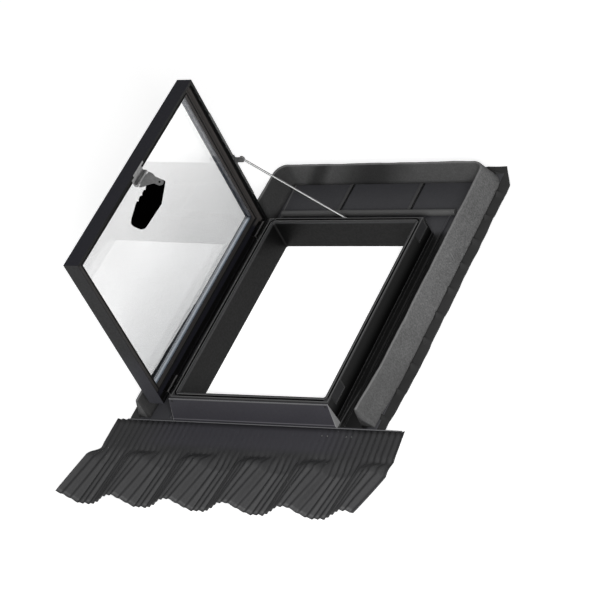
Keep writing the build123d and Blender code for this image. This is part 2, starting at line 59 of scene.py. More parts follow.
# The tray: its gutter bar, the two ribs of its panels and its folds
gutter_y, gutter_half, panel_y = 407.0, 9.4, 415.0
rib_gaps, rib_backs = (-90.0, 136.6), (-97.5, 129.0)
left_fold_x, left_fold_y, left_fold_lean = -283.0, 461.0, 0.059
right_fold_x = 269.0


# Shader maths

class Field:
    """A value that varies over a surface. Each operator adds the Math node of that name."""

    def __init__(self, finish, socket):
        self.finish, self.socket = finish, socket

    def _math(self, operation, *terms):
        return self.finish.node("ShaderNodeMath", {"operation": operation}, dict(enumerate(terms)))

    def __add__(self, other):
        return self._math("ADD", self, other)

    def __sub__(self, other):
        return self._math("SUBTRACT", self, other)

    def __rsub__(self, other):
        return self._math("SUBTRACT", other, self)

    def __mul__(self, other):
        return self._math("MULTIPLY", self, other)

    def __abs__(self):
        return self._math("ABSOLUTE", self)

    def __or__(self, other):
        return self._math("MAXIMUM", self, other)

    def __and__(self, other):
        return self._math("MINIMUM", self, other)

    __radd__, __rmul__ = __add__, __mul__


class Finish:
    """One material being made: its node tree, with the Principled shader that it feeds."""

    def __init__(self, name, **plain):
        self.material = bpy.data.materials.new(name)
        self.material.use_nodes = True
        self.tree = self.material.node_tree
        self.shader = self.tree.nodes["Principled BSDF"]
        for socket, value in plain.items():
            self.shader.inputs[socket.replace("_", " ")].default_value = value
        self.coords = self.node("ShaderNodeTexCoord", out="Object")

    def node(self, kind, settings=None, sockets=None, out=0):
        """Adds a node, sets it, fills its sockets with values or links, and gives back one output."""
        made = self.tree.nodes.new(kind)
        for name, value in (settings or {}).items():
            setattr(made, name, value)
        for name, value in (sockets or {}).items():
            if isinstance(value, Field):
                self.tree.links.new(value.socket, made.inputs[name])
            else:
                made.inputs[name].default_value = value
        return Field(self, made.outputs[out])

    def feed(self, **links):
        """Links fields to the shader's sockets by name."""
        for name, field in links.items():
            self.tree.links.new(field.socket, self.shader.inputs[name.replace("_", " ")])
        return self

    def noise(self, scale, detail=3.0, stretch=(1, 1, 1), rough=0.5, turn=0.0):
        """Fractal noise from 0 to 1, with scale in cycles per metre, stretched along the axes."""
        where = self.node(
            "ShaderNodeMapping", None, {"Vector": self.coords, "Rotation": (0, 0, turn), "Scale": stretch}
        )
        return self.node(
            "ShaderNodeTexNoise", None, {"Vector": where, "Scale": scale, "Detail": detail, "Roughness": rough}
        )

    def along(self, axis):
        """Position along X, Y or Z in mm."""
        return self.node("ShaderNodeSeparateXYZ", None, {0: self.coords}, out=axis) * 1000.0

    def step(self, field, low, high, a=0.0, b=1.0):
        """Smooth step of a field from a to b between low and high."""
        return self.node(
            "ShaderNodeMapRange",
            {"interpolation_type": "SMOOTHSTEP"},
            {"Value": field, "From Min": low, "From Max": high, "To Min": a, "To Max": b},
        )

    def band(self, field, middle, half, soft=0.2):
        """1 within half of a middle value, and 0 beyond it."""
        return self.step(abs(field - middle), half + soft, half)

    def blend(self, mask, colour_a, colour_b):
        """Mixes two colours by a mask."""
        return self.node("ShaderNodeMix", {"data_type": "RGBA"}, {0: mask, 6: colour_a, 7: colour_b}, out=2)

    def bump(self, height, distance, strength=1.0, normal=None):
        """A bumped normal from a height field, where distance is the relief in metres."""
        sockets = {"Height": height, "Distance": distance, "Strength": strength}
        if normal is not None:
            sockets["Normal"] = normal
        return self.node("ShaderNodeBump", None, sockets)

    def eased(self, radius):
        """The normal of edges rounded to a radius in metres, and a mask that is 1 along those edges."""
        rounded = self.node("ShaderNodeBevel", {"samples": 6}, {"Radius": radius})
        flat = self.node("ShaderNodeNewGeometry", out="Normal")
        facing = self.node("ShaderNodeVectorMath", {"operation": "DOT_PRODUCT"}, {0: rounded, 1: flat}, out="Value")
        return rounded, self.step(facing, 0.995, 0.86)

    def sash_depth(self):
        """Depth outwards from the hinge axis in mm, square to the leaning sash."""
        return (hinge_x - self.along(0)) * cos(lean) + (self.along(2) - hinge_z) * sin(lean)

    def sash_inset(self):
        """Distance in from the sash's outline in mm."""
        reach = (self.along(0) - hinge_x) * sin(lean) + (self.along(2) - hinge_z) * cos(lean)
        across = (reach - sash_near) & (sash_far - reach)
        return across & (sash_top - self.along(1)) & (self.along(1) - sash_low)


def grey(level, warmth=0.0, blue=0.0):
    """A colour written as its display level from 0 to 255, turned to the linear value shaders use."""
    def linear(c):
        c = min(max(c / 255, 0), 1)
        return c / 12.92 if c <= 0.04045 else ((c + 0.055) / 1.055) ** 2.4
    return (linear(level + warmth), linear(level), linear(level + blue), 1)


def scaled(colour, factor):
    """A colour made lighter or darker by a factor."""
    return tuple(c * factor for c in colour[:3]) + (1,)


def coated(name, base, edge, rough, grain, radius=0.0008, marks=(), **plain):
    """Coated or moulded surface: broad tone drift, fine grain in the relief and eased edges painted lighter as a
    highlight.
    Each mark is a function of the finish that gives a mask, with the colour that goes under that mask; several marks
    are painted light and painted shade."""
    f = Finish(name, **plain)
    rounded, rim = f.eased(radius)
    drift = f.noise(9, 4) * 0.5 + f.noise(70, 3) * 0.5
    tone = f.blend(drift, scaled(base, 0.84), scaled(base, 1.16))
    for mask, colour in marks:
        tone = f.blend(mask(f), tone, colour)
    f.feed(
        Base_Color=f.blend(rim * 0.8, tone, edge),
        Roughness=f.step(f.noise(160, 4), 0.3, 0.7, rough - 0.05, rough + 0.07),
        Normal=f.bump(f.noise(grain, 2, rough=0.6), 0.00006, 0.6, rounded),
    )
    return f.material


def bright(name, base, rough, stretch, streak=220, spot=0.3, marks=()):
    """Plated or drawn metal: fine streaks along the work, spots of dull zinc and eased edges painted pale as a
    highlight.
    """
    f = Finish(name, Metallic=1.0)
    rounded, rim = f.eased(0.0004)
    lines = f.noise(streak, 5, stretch, 0.7)
    spots = f.step(f.noise(320, 3), 0.45, 0.62)
    tone = f.blend(lines * (1 - spot) + spots * spot, scaled(base, 0.62), base)
    for mask, colour in marks:
        tone = f.blend(mask(f), tone, colour)
    f.feed(
        Base_Color=f.blend(rim * 0.6, tone, grey(225)),
        Roughness=f.step(lines, 0.3, 0.7, rough - 0.08, rough + 0.1),
        Normal=f.bump(lines, 0.00003, 0.5, rounded),
    )
    return f.material


def lit_strip(name, shade):
    """A pale strip behind the panes. It glows a little, in place of the sky light that glass holds back."""
    f = Finish(name, Roughness=0.4, Base_Color=grey(120), Emission_Strength=1.0)
    f.feed(Emission_Color=shade(f))
    return f.material


# Surfaces worked out on a grid

def surface(name, points, close_v=False, ends=False, closed=False):
    """A mesh from an array of points (rows, columns, 3), or a stack of such grids, with quads between
    neighbours. Columns are wrapped where asked, the first and last rows are filled when ends is set, and
    a closed shape has its poles welded and its faces turned outwards."""
    rows, cols = points.shape[-3:-1]
    stack = points.reshape(-1, rows, cols, 3)
    index = np.arange(stack.shape[0] * rows * cols).reshape(-1, rows, cols)
    if close_v:
        index = np.concatenate([index, index[:, :, :1]], 2)
    quads = np.stack([index[:, :-1, :-1], index[:, :-1, 1:], index[:, 1:, 1:], index[:, 1:, :-1]], -1)
    faces = quads.reshape(-1, 4).tolist()
    if ends:
        faces += index[:, 0, :cols][:, ::-1].tolist() + index[:, -1, :cols].tolist()
    mesh = bpy.data.meshes.new(name)
    mesh.from_pydata(stack.reshape(-1, 3).tolist(), [], faces)
    if closed:
        work = bmesh.new()
        work.from_mesh(mesh)
        bmesh.ops.remove_doubles(work, verts=work.verts, dist=1e-6)
        bmesh.ops.dissolve_degenerate(work, edges=work.edges, dist=1e-7)
        bmesh.ops.recalc_face_normals(work, faces=work.faces)
        work.to_mesh(mesh)
        work.free()
    mesh.validate()
    mesh.update()
    piece = bpy.data.objects.new(name, mesh)
    scene.collection.objects.link(piece)
    return piece


def finished(piece, material, body):
    """Gives a piece its material and the body that it rides on, with smooth shading."""
    piece.data.materials.append(material)
    piece.data.polygons.foreach_set("use_smooth", [True] * len(piece.data.polygons))
    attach(piece, body)
    return piece


def thickened(piece, thickness):
    """Gives a sheet its thickness, half on each side."""
    wall = piece.modifiers.new("thickness", "SOLIDIFY")
    wall.thickness, wall.offset = thickness, 0
    return piece


def ramp_between(x, low, high):
    """0 below low, 1 above high, and a smooth cubic between them."""
    t = np.clip((x - low) / (high - low), 0, 1)
    return t * t * (3 - 2 * t)


def from_sash(reach, y, depth):
    """Points in mm from the leaning sash's own distances: reach from the hinge axis and depth outwards."""
    reach, y, depth = np.broadcast_arrays(*(np.asarray(a, float) for a in (reach, y, depth)))
    return np.stack([
        hinge_x - depth * cos(lean) + reach * sin(lean),
        y,
        hinge_z + depth * sin(lean) + reach * cos(lean),
    ], -1)


def heads(name, places, out, radius, height):
    """Domed screw heads: each is its rim profile turned about its own axis, with a recess whose radius
    swings six times round, r = R p (1 + q cos 6a), where p is the profile and q the depth of the lobes."""
    out = np.array(out, float) / np.linalg.norm(out)
    side = np.cross(out, (0.31, 0.87, 0.37))
    side /= np.linalg.norm(side)
    other = np.cross(out, side)
    ring_r = np.array([0, 0.96, 1, 0.97, 0.85, 0.66, 0.5, 0.44, 0.4, 0])
    ring_h = np.array([-0.5, -0.5, 0.1, 0.45, 0.8, 0.97, 1, 0.9, 0.35, 0.3])
    lobes = np.array([0, 0, 0, 0, 0, 0, 0.14, 0.16, 0.16, 0])
    a = np.linspace(0, 2 * pi, 24, endpoint=False)
    r = radius * ring_r[:, None] * (1 + lobes[:, None] * np.cos(6 * a))
    turned = r[..., None] * (np.cos(a)[:, None] * side + np.sin(a)[:, None] * other)
    one = turned + height * ring_h[:, None, None] * out
    grid = np.asarray(places, float)[:, None, None, :] + one[None]
    return surface(name, grid * mm, close_v=True, closed=True)


def bar(name, start, end, wide, tall, power=3.0, round_end=0.04):
    """Straight bar with a superellipse section |p|^n + |q|^n = 1, drawn in to a point at both ends by a
    quarter of an ellipse. wide and tall are its half widths as vectors in mm."""
    t = np.concatenate([[0], round_end * (1 - np.cos(np.linspace(0, pi / 2, 6))[1:]), [0.5]])
    t = np.concatenate([t, 1 - t[-2::-1]])
    inward = np.clip(np.minimum(t, 1 - t) / round_end, 0, 1)
    draw = (1 - (1 - inward) ** 2) ** 0.5
    a = np.linspace(0, 2 * pi, 24, endpoint=False)
    p = np.sign(np.cos(a)) * abs(np.cos(a)) ** (2 / power)
    q = np.sign(np.sin(a)) * abs(np.sin(a)) ** (2 / power)
    section = p[:, None] * np.array(wide, float) + q[:, None] * np.array(tall, float)
    start, end = np.array(start, float), np.array(end, float)
    line = start + (end - start) * t[:, None]
    return surface(name, (line[:, None] + draw[:, None, None] * section) * mm, close_v=True, closed=True)


# Camera at the photograph's angle
camera_data = bpy.data.cameras.new("camera")
camera_data.sensor_width = 36
camera_data.lens = 2682.9 * 36 / 600
camera_data.clip_end = 50
camera = bpy.data.objects.new("camera", camera_data)
scene.collection.objects.link(camera)
camera.matrix_world = Matrix((
    (0.8267229, -0.01087286, 0.56250424, 3.9578),
    (0.39234181, 0.72772794, -0.5625655, -3.9361),
    (-0.40323336, 0.68577972, 0.60589524, 4.3616),
    (0, 0, 0, 1),
))
scene.camera = camera


# Masks of the kerb

def past_opening(f):
    """Distance out from the clear opening's outline in mm."""
    return (abs(f.along(0)) - opening_half_w) | (abs(f.along(1) - opening_y) - opening_half_l)


def rim_groove(f):
    """The groove round the rim, down inside it, painted black as shade."""
    return f.band(past_opening(f), groove, groove_half) * f.step(f.along(2), rim_z + 0.3, rim_z - 0.3)


def rim_lips(f):
    """The two lips beside the groove, painted light as a highlight."""
    lips = f.band(past_opening(f), inner_lip, lip_half, 0.6) | f.band(past_opening(f), outer_lip, lip_half, 0.6)
    return lips * f.step(f.along(2), rim_z - 0.3, rim_z + 0.3)


def reveal(f):
    """The kerb's inner walls, below its rim, painted dark as shade inside the opening."""
    return f.step(past_opening(f), 2.0, 0.5) * f.step(f.along(2), 90, 86)


def outer_side(f):
    """Everything from the kerb's outer walls outwards."""
    return f.step(past_opening(f), outer_face, outer_face + 1)


def outer_wall(f):
    """The kerb's outer walls, below its rim, painted darker as shade."""
    return outer_side(f) * f.step(f.along(2), 94, 92)


def wall_foot(f):
    """The foot of the outer walls, painted near black as the shade down in the gutter."""
    return outer_side(f) * f.step(f.along(2), 84, 44)


# Masks of the front cover and the tray

def on_cover(f):
    """The cover from its inner edge down the slope."""
    return f.step(f.along(1), cover_inner_y + 2, cover_inner_y - 2)


def cover_fold(f):
    """The light line of the fold along the cover's foot, a painted highlight."""
    line = f.band(f.along(2), cover_fold_z, 0.9, 0.5)
    return line * f.step(f.along(1), cover_face_y + 0.5, cover_face_y - 0.5)


def cover_foot(f):
    """The darker band of the cover below its fold."""
    return f.step(f.along(2), cover_fold_z - 0.8, cover_fold_z - 1.6) * 0.7


def cheek_edges(f):
    """The light edges where the cover turns round onto its cheeks, a painted highlight."""
    edge = abs(f.along(0)) - cheek_x + f.along(2) * cheek_lean
    return f.band(edge, 0.0, 1.5, 0.6) * on_cover(f)


def top_edge(f):
    """The light line along the cover's top edge, a painted highlight."""
    return f.step(f.along(2), 91.8, 92.8) * on_cover(f) * 0.7


def above_gutter(f):
    """The tray's panels, up the slope from its gutter bar."""
    return f.step(f.along(1), panel_y - 1, panel_y + 1)


def panel_joint(f):
    """The dark gap on the right of each panel rib, painted shade."""
    gaps = f.band(f.along(0), rib_gaps[0], 2.1) | f.band(f.along(0), rib_gaps[1], 2.1)
    return gaps * above_gutter(f)


def panel_fold(f):
    """The back of each panel rib, painted light as a highlight."""
    backs = f.band(f.along(0), rib_backs[0], 4.0, 3.5) | f.band(f.along(0), rib_backs[1], 4.0, 3.5)
    return backs * above_gutter(f) * 0.75


def side_fold(f):
    """The light fold up the tray's left side, a painted highlight."""
    line = f.along(0) - left_fold_x + (f.along(1) - left_fold_y) * left_fold_lean
    return f.band(line, 0.0, 1.6, 0.8) * f.step(f.along(1), 396, 402)


def gutter_bar(f):
    """The upper side of the gutter bar, painted light as a highlight."""
    return f.band(f.along(1), gutter_y, gutter_half) * f.step(f.along(2), 29.5, 31.5)


def right_trough(f):
    """The run of the tray between the kerb and the right side of the foam, painted dark as shade."""
    inside = f.step(f.along(0), 247, 249) * f.step(f.along(0), 345, 338)
    return inside * f.step(f.along(1), -349, -343) * f.step(f.along(1), 350, 322)


def right_fold(f):
    """The light fold along that run, bent towards the kerb at its foot, a painted highlight."""
    line = f.along(0) - right_fold_x + f.step(f.along(1), -150, -340, 0, 12)
    return f.band(line, 0.0, 1.1, 0.5) * f.step(f.along(1), 350, 340)


# Masks of the sash and the hinges

def inside_skirt(f):
    """The sash's inner walls above its ledge, painted black as shade in the recess, with the black edge of the skirt,
    a black seal.
    """
    above_ledge = f.step(f.sash_depth(), ledge_depth + 0.15, ledge_depth - 0.15)
    within = f.step(f.sash_inset(), 1.0, 2.0) * above_ledge
    return within | f.step(f.sash_depth(), skirt_depth + 0.15, skirt_depth - 0.15)


def ledge_face(f):
    """The ledge that the glass lies on, painted lighter as the light that falls on it."""
    return f.step(f.sash_inset(), 9.0, 10.0) * f.step(f.sash_depth(), ledge_depth - 0.25, ledge_depth + 0.05)


def top_end(f):
    """The end of the sash that lies up the slope."""
    return f.step(f.along(1), 300, 316)


def top_wall(f):
    """The part of the inner wall at that end, next to the glass, painted greyer as the light that falls on it."""
    inner = f.step(f.sash_inset(), 1.0, 2.0) * f.step(f.sash_depth(), 34.0, 30.0)
    return top_end(f) * inner * f.step(f.sash_depth(), 13.0, 17.0)


def on_foot_face(f):
    """The face of the sash that looks down the slope."""
    return f.step(f.along(1), sash_low + 0.8, sash_low + 0.4)


def foot_high_shade(f):
    """The upper part of the sash's foot face, painted darker as shade."""
    return on_foot_face(f) * f.step(f.along(2), 120, 330)


def foot_low_light(f):
    """The lower part of the sash's foot face, painted lighter as the light that falls on it."""
    return on_foot_face(f) * f.step(f.along(2), 300, 110)


def spacer_shade(f):
    """Glow colour of the spacer, painted light: bright near the outer pane, blue-grey in the middle and nearly black
    near the inner pane, and dark at the end up the slope.
    """
    inner = f.blend(f.step(f.sash_depth(), 30.0, 31.5), grey(26, -4, 12), grey(112, -12, 14))
    strip = f.blend(f.step(f.sash_depth(), 35.0, 37.0), inner, grey(190, -6, 8))
    return f.blend(top_end(f), strip, grey(30, -4, 10))


def pane_edge_shade(f):
    """Glow colour of the pane edge, painted light: pale, and dark at the end up the slope."""
    pale = f.blend(f.noise(30, 3), grey(184, -5, 6), grey(200, -4, 6))
    return f.blend(top_end(f), pale, grey(60, -6, 10))


def hinge_edges(f):
    """The two light lines of a hinge, along its pin and along its kerb leaf."""
    return f.band(f.along(0), -250.5, 1.6, 0.4) | f.band(f.along(0), -266.8, 2.0, 0.4)


# Finishes of the solids

kerb_marks = (
    (reveal, grey(5)),
    (outer_wall, grey(40)),
    (wall_foot, grey(2)),
    (rim_lips, grey(84)),
    (rim_groove, grey(3)),
)
cover_marks = (
    (cover_foot, grey(36, 1, 4)),
    (cover_fold, grey(84, 1, 4)),
    (top_edge, grey(96)),
    (cheek_edges, grey(120)),
)
tray_marks = (
    (right_trough, grey(10)),
    (right_fold, grey(66)),
    (side_fold, grey(88)),
    (panel_fold, grey(78)),
    (panel_joint, grey(1)),
    (gutter_bar, grey(80)),
)
sash_marks = (
    (inside_skirt, grey(4)),
    (ledge_face, grey(44, 2, -1)),
    (top_wall, grey(60, 3, -1)),
    (foot_high_shade, grey(8, 0, 2)),
    (foot_low_light, grey(52, 0, 4)),
)
moulded = coated("moulded_kerb", grey(50, 0, 1), grey(92), 0.5, 2600, 0.0010, kerb_marks, Specular_IOR_Level=0.13)
cover_coat = coated(
    "cover_coat", grey(45, 1, 5), grey(126, 0, 4), 0.5, 3200, 0.0020, cover_marks, Specular_IOR_Level=0.4
)
tray_coat = coated("tray_coat", grey(57, 0, 3), grey(96), 0.46, 3200, 0.0008, tray_marks, Specular_IOR_Level=0.4)
sash_coat = coated("sash_coat", grey(29, 0, 6), grey(52, 0, 6), 0.5, 3200, 0.0006, sash_marks, Specular_IOR_Level=0.2)
rubber = coated("seal_rubber", grey(12), grey(22), 0.7, 1500, 0.0005, Specular_IOR_Level=0.2)
grip_black = coated("grip_moulding", grey(1), grey(14), 0.45, 2400, 0.0012, Specular_IOR_Level=0.0)
zinc = bright("zinc_sheet", grey(178), 0.42, (1, 1, 1), 120, 0.5)
shoe_zinc = bright("shoe_zinc", grey(120), 0.4, (1, 1, 1), 400, 0.6)
hinge_zinc = bright("hinge_plate", grey(60), 0.4, (1, 0.2, 1), marks=((hinge_edges, grey(205)),))
drawn_bar = bright("drawn_bar", grey(150), 0.42, (0.2, 1, 0.2))
mill = bright("track_strip", grey(118), 0.4, (1, 1, 0.1))
screw_zinc = bright("screw_heads", grey(110), 0.4, (1, 1, 1))
dark_screw = coated("dark_screw_heads", grey(12), grey(60), 0.4, 2000, 0.0004)
riveted = bright("blind_rivets", grey(135), 0.4, (1, 1, 1))
spacer_strip = lit_strip("spacer_strip", spacer_shade)
pane_edge = lit_strip("pane_edge", pane_edge_shade)

# Glass: thin clear sheets, a little grey, greyer towards the hinge and the foot of the sash with a soft drift; that
# greying is a painted reflection
pane = Finish("float_glass", Roughness=0.0, IOR=1.45, Transmission_Weight=1.0)
to_hinge = pane.step(pane.along(2), 560, 120)
to_foot = pane.step(pane.along(1), 250, -300)
reflection_drift = pane.noise(3.2, 2, (1, 1, 1), 0.4, 0.6)
shade = to_hinge * 0.46 + to_foot * 0.14 + reflection_drift * 0.18 - 0.09
pane.feed(Base_Color=pane.blend(shade, grey(236), grey(182, -1, 1)))

for material, names in {
    moulded: ("frame_body", "stay_guide"),
    cover_coat: ("front_cover",),
    tray_coat: ("flashing_tray",),
    sash_coat: ("sash_frame", "sash_cap"),
    rubber: ("inner_gasket", "rim_seal"),
    pane_edge: ("outer_gasket",),
    grip_black: ("grip", "grip_rivet"),
    zinc: ("latch_base", "latch_hasp", "latch_keep", "latch_pin"),
    shoe_zinc: ("stay_shoe", "stay_pin"),
    hinge_zinc: ("hinge_lower_frame_leaf", "hinge_upper_frame_leaf", "hinge_lower_sash_leaf", "hinge_upper_sash_leaf"),
    drawn_bar: ("stay_rod",),
    mill: ("stay_track",),
    spacer_strip: ("glazing_spacer",),
    pane.material: ("glass_inner", "glass_outer"),
}.items():
    for name in names:
        nodes[name].data.materials.clear()
        nodes[name].data.materials.append(material)


# Apron: its top edge, its fall, where its tile waves begin and are full, and its side edges as
# distances down with the x at each
apron_top, apron_fall, apron_z = -352.7, 270.0, 30.3
flat_end, step_end = 98.0, 150.0
left_edge = ((0, 95, 135, 270), (-438, -439, -449, -486))
right_edge = ((0, 95, 150, 270), (458, 468, 471, 432))
crest_x, wave_pitch, pleats = 49.0, 179.5, 50
crest_lift, crest_sink, crest_drift, nose_hollow = 27, 8, 30, 3.0
step_drop, hem_drop = 6, 17
flat_pleat, end_pleat, wave_pleat = 0.15, 1.9, 3.0


def apron_points(s, down):
    """Pleated sheet over tile waves, at a share s of its width and a distance down in mm. Its height is
    flat at first, then steps up over each crest and sinks in each valley, with the pleats' zigzag on top:
    z = z0 + lift wave - hollow - drop (1 - wave) + depth zigzag. A wave falls by a smooth cubic on the
    right of its crest, climbs by a longer one to the next and drifts to the left on its way down."""
    left, right = np.interp(down, *left_edge), np.interp(down, *right_edge)
    x = left + (right - left) * s
    lean_over = crest_drift * (1 - np.clip((down - 100) / 170, 0, 1))
    past = np.mod(x - crest_x - lean_over, wave_pitch)
    wave = 1 - ramp_between(past, 2, 62) + ramp_between(past, 92, 176)
    start = flat_end + 2
    lift = ramp_between(down, start, start + 46) * (crest_lift - crest_sink * np.clip((down - 130) / 140, 0, 1))
    hollow = nose_hollow * np.exp(-(((down - start) / 10) ** 2)) * wave
    drop = step_drop * ramp_between(down, flat_end, step_end) + hem_drop * np.clip((down - step_end) / 120, 0, 1)
    dressed = ramp_between(down, flat_end - 20, step_end)
    fold = 2 * pi * pleats * s
    zigzag = 0.85 * np.cos(fold) + 0.3 * dressed * np.cos(fold / 2 + 0.8)
    ends = ramp_between(abs(x - 20), 150, 400)
    depth = (flat_pleat + end_pleat * ends) * (1 - dressed) + wave_pleat * dressed
    z = apron_z + lift * wave - hollow - drop * (1 - wave) + depth * zigzag
    return np.stack([x, apron_top - down, z], -1)


across = np.linspace(0, 1, pleats * 16 + 1)
down = np.unique(np.concatenate([np.linspace(0, 74, 5), np.linspace(74, 162, 30), np.linspace(162, apron_fall, 10)]))
apron_grid = apron_points(*np.meshgrid(across, down))
apron = thickened(surface("apron_sheet", apron_grid * mm), 1.2 * mm)
apron_skin = Finish("pleated_sheet", Roughness=0.6, Specular_IOR_Level=0.4)
rubbed = apron_skin.noise(420, 3, (1, 0.06, 1))
flat_part = apron_skin.step(apron_skin.along(1), -450, -420) * apron_skin.step(abs(apron_skin.along(0)), 380, 200)
sheet_tone = apron_skin.blend(rubbed, grey(32, 0, 1), grey(49, 0, 1))
apron_skin.feed(
    Base_Color=apron_skin.blend(flat_part * 0.7, sheet_tone, grey(50, 1, 6)),
    Normal=apron_skin.bump(apron_skin.noise(900, 2), 0.00008, 0.5),
)
finished(apron, apron_skin.material, "kerb")
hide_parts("apron")

# Strip that clamps the apron's top edge, painted light as a highlight along that edge
clamp_y, clamp_z = -353.6, 32.6
clamp_coat = coated("clamp_strip", grey(92, 0, 2), grey(130), 0.45, 2400, 0.0004)
clamp = bar("apron_clamp", (-404, clamp_y, clamp_z), (452, clamp_y, clamp_z), (0, 1.3, 0), (0, 0, 0.9), 4.0, 0.002)
finished(clamp, clamp_coat, "kerb")


# Foam wedge: the middle line of its sides and top, its feet, its corners, and its section as pairs of
# reach outwards and height
foam_side, foam_top, foam_foot, foam_corner = 355.0, 545.0, -342.0, 41.0
foam_crest_z, foam_height = 97.4, 70
foam_profile = np.array([
    (-19, 27.8), (-18.4, 40), (-16.6, 60), (-14.2, 80), (-12.4, 91), (-11, 95.5), (-9, 97.4), (-6.8, 97.1),
    (-4.8, 94.3), (-1.5, 85), (4, 70), (9.5, 55), (14.5, 42), (18.4, 32), (19.6, 29), (18.8, 27.8),
])


def wedge_path():
    """Corner-rounded U seen from above, from the left foot up the slope, across and down the right:
    points of its middle line in mm with unit normals that point outwards, away from the kerb."""
    straight = np.linspace(foam_foot, foam_top - foam_corner, 90)
    turn = np.linspace(0, pi / 2, 16)
    half = foam_side - foam_corner
    xs = np.concatenate([-foam_side + 0 * straight, -half - foam_corner * np.cos(turn)[1:]])
    ys = np.concatenate([straight, foam_top - foam_corner + foam_corner * np.sin(turn)[1:]])
    nx = np.concatenate([-1 + 0 * straight, -np.cos(turn)[1:]])
    ny = np.concatenate([0 * straight, np.sin(turn)[1:]])
    bridge = np.linspace(-half, half, 70)[1:-1]
    px = np.concatenate([xs, bridge, -xs[::-1]])
    py = np.concatenate([ys, foam_top + 0 * bridge, ys[::-1]])
    qx = np.concatenate([nx, 0 * bridge, -nx[::-1]])
    qy = np.concatenate([ny, 1 + 0 * bridge, ny[::-1]])
    return np.stack([px, py], -1), np.stack([qx, qy], -1)


def drawn_in(x, y):
    """How far a point near the foot of the right side is drawn towards the kerb, in mm."""
    return -11.0 * ramp_between(-y, 170, 350) * (x > 0)


def pushed_in(x, y):
    """How far the left side is pushed towards the kerb, in mm, more and more up the slope."""
    return 26.0 * ramp_between(y, -340, 420) * ramp_between(-x, 150, 320)


def foam_points():
    """Sections of the wedge along its path: each point is the path, moved by drawn_in and pushed_in, plus
    the outward normal times the profile's reach. The reach ripples by sines of the distance run, which
    fade out at the foot of the profile. Where the left side is pushed in, the foot of its inner face
    stays back in proportion to how far it lies below the crest."""
    line, outward = wedge_path()
    run = np.concatenate([[0], np.cumsum(np.hypot(*np.diff(line, axis=0).T))])
    ripple = 0.5 * np.sin(run / 37) + 0.35 * np.sin(run / 13 + 1) + 0.2 * np.sin(run / 5.3)
    swell = np.sin(np.linspace(0, pi, len(foam_profile)))
    across, up = foam_profile.T
    reach = across[None, :] + ripple[:, None] * swell[None, :]
    push = pushed_in(*line.T)
    spread = 0.8 * (push * -outward[:, 0])[:, None] * (across < -8) * (foam_crest_z - up) / foam_height
    reach = reach - spread
    height = np.repeat(up[None, :], len(run), 0) + 0.4 * np.sin(run / 23)[:, None] * (up > 90)
    return np.stack([
        (line[:, 0] + drawn_in(*line.T) + push)[:, None] + outward[:, 0][:, None] * reach,
        line[:, 1][:, None] + outward[:, 1][:, None] * reach,
        height,
    ], -1)


foam = surface("foam_wedge", foam_points() * mm, close_v=True, ends=True, closed=True)
foam_skin = Finish("felted_foam", Roughness=0.95, Specular_IOR_Level=0.2)
felt = foam_skin.step(foam_skin.noise(190, 6, (1, 1, 1), 0.85), 0.34, 0.66)
cloud = foam_skin.noise(30, 4, (1, 0.4, 1), 0.6)
# The crest band is painted lighter, a painted highlight along the top of the foam.
crest = foam_skin.band(foam_skin.along(2), 97.3, 2.2, 1.6)
left_crest_x = foam_skin.step(foam_skin.along(1), -340, 420, -345, -319)
past_crest = (foam_skin.along(0) - 345.0) | (foam_skin.along(1) - 535.0) | (left_crest_x - foam_skin.along(0))
outer_slope = foam_skin.step(past_crest, -1.0, 2.0)
# Painted shade on the foam's inner faces: two slanted dark bands with streaky edges, and its left side.
streaks = foam_skin.noise(14, 3, (1, 1, 0.4), 0.6) * 40 - 20
slanted = foam_skin.along(0) - (foam_skin.along(2) - 60) * 0.7 + streaks
shaded = foam_skin.step(abs(slanted + 195), 46, 4) * 0.7 | foam_skin.step(abs(slanted + 20), 160, 10) * 0.75
shaded = shaded | foam_skin.step(foam_skin.along(0), -262, -300) * 0.6
inner_tone = foam_skin.blend(shaded, foam_skin.blend(felt, grey(76), grey(88)), grey(26))
foot_drift = foam_skin.step(foam_skin.along(1), 100, -340)
outer_tone = foam_skin.blend(felt * 0.6 + cloud * 0.4, grey(68), grey(124))
outer_tone = foam_skin.blend(foot_drift * 0.5, outer_tone, grey(54))
body_tone = foam_skin.blend(outer_slope, inner_tone, outer_tone)
foam_skin.feed(
    Base_Color=foam_skin.blend(crest * 0.45, body_tone, grey(132)),
    Normal=foam_skin.bump(felt, 0.0012, 0.8),
)
finished(foam, foam_skin.material, "kerb")
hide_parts("foam_seal")


# Underlay: a thin skirt under the foam, tented across its width at even steps
skirt_foot, skirt_z = -349.0, 24.9
tent_pitch, tent_peak, tent_rise_run, tent_fall_run = 88.0, 12, 5.0, 17.0
tent_height, tent_hem = 8.5, 1.0


def border(half, top, corner_x, corner_y, curved):
    """U-shaped line in mm: up the left side, round or straight across the corner, along the top and back
    down, with the same share of points on each part."""
    side = np.linspace(skirt_foot, top - corner_y, 220)
    t = np.linspace(0, 1, 18)[1:]
    bend_x, bend_y = (1 - np.cos(pi * t / 2), np.sin(pi * t / 2)) if curved else (t, t)
    xs = np.concatenate([-half + 0 * side, -half + corner_x * bend_x])
    ys = np.concatenate([side, top - corner_y + corner_y * bend_y])
    middle = np.linspace(-half + corner_x, half - corner_x, 170)[1:-1]
    return np.stack([np.concatenate([xs, middle, -xs[::-1]]), np.concatenate([ys, top + 0 * middle, ys[::-1]])], -1)


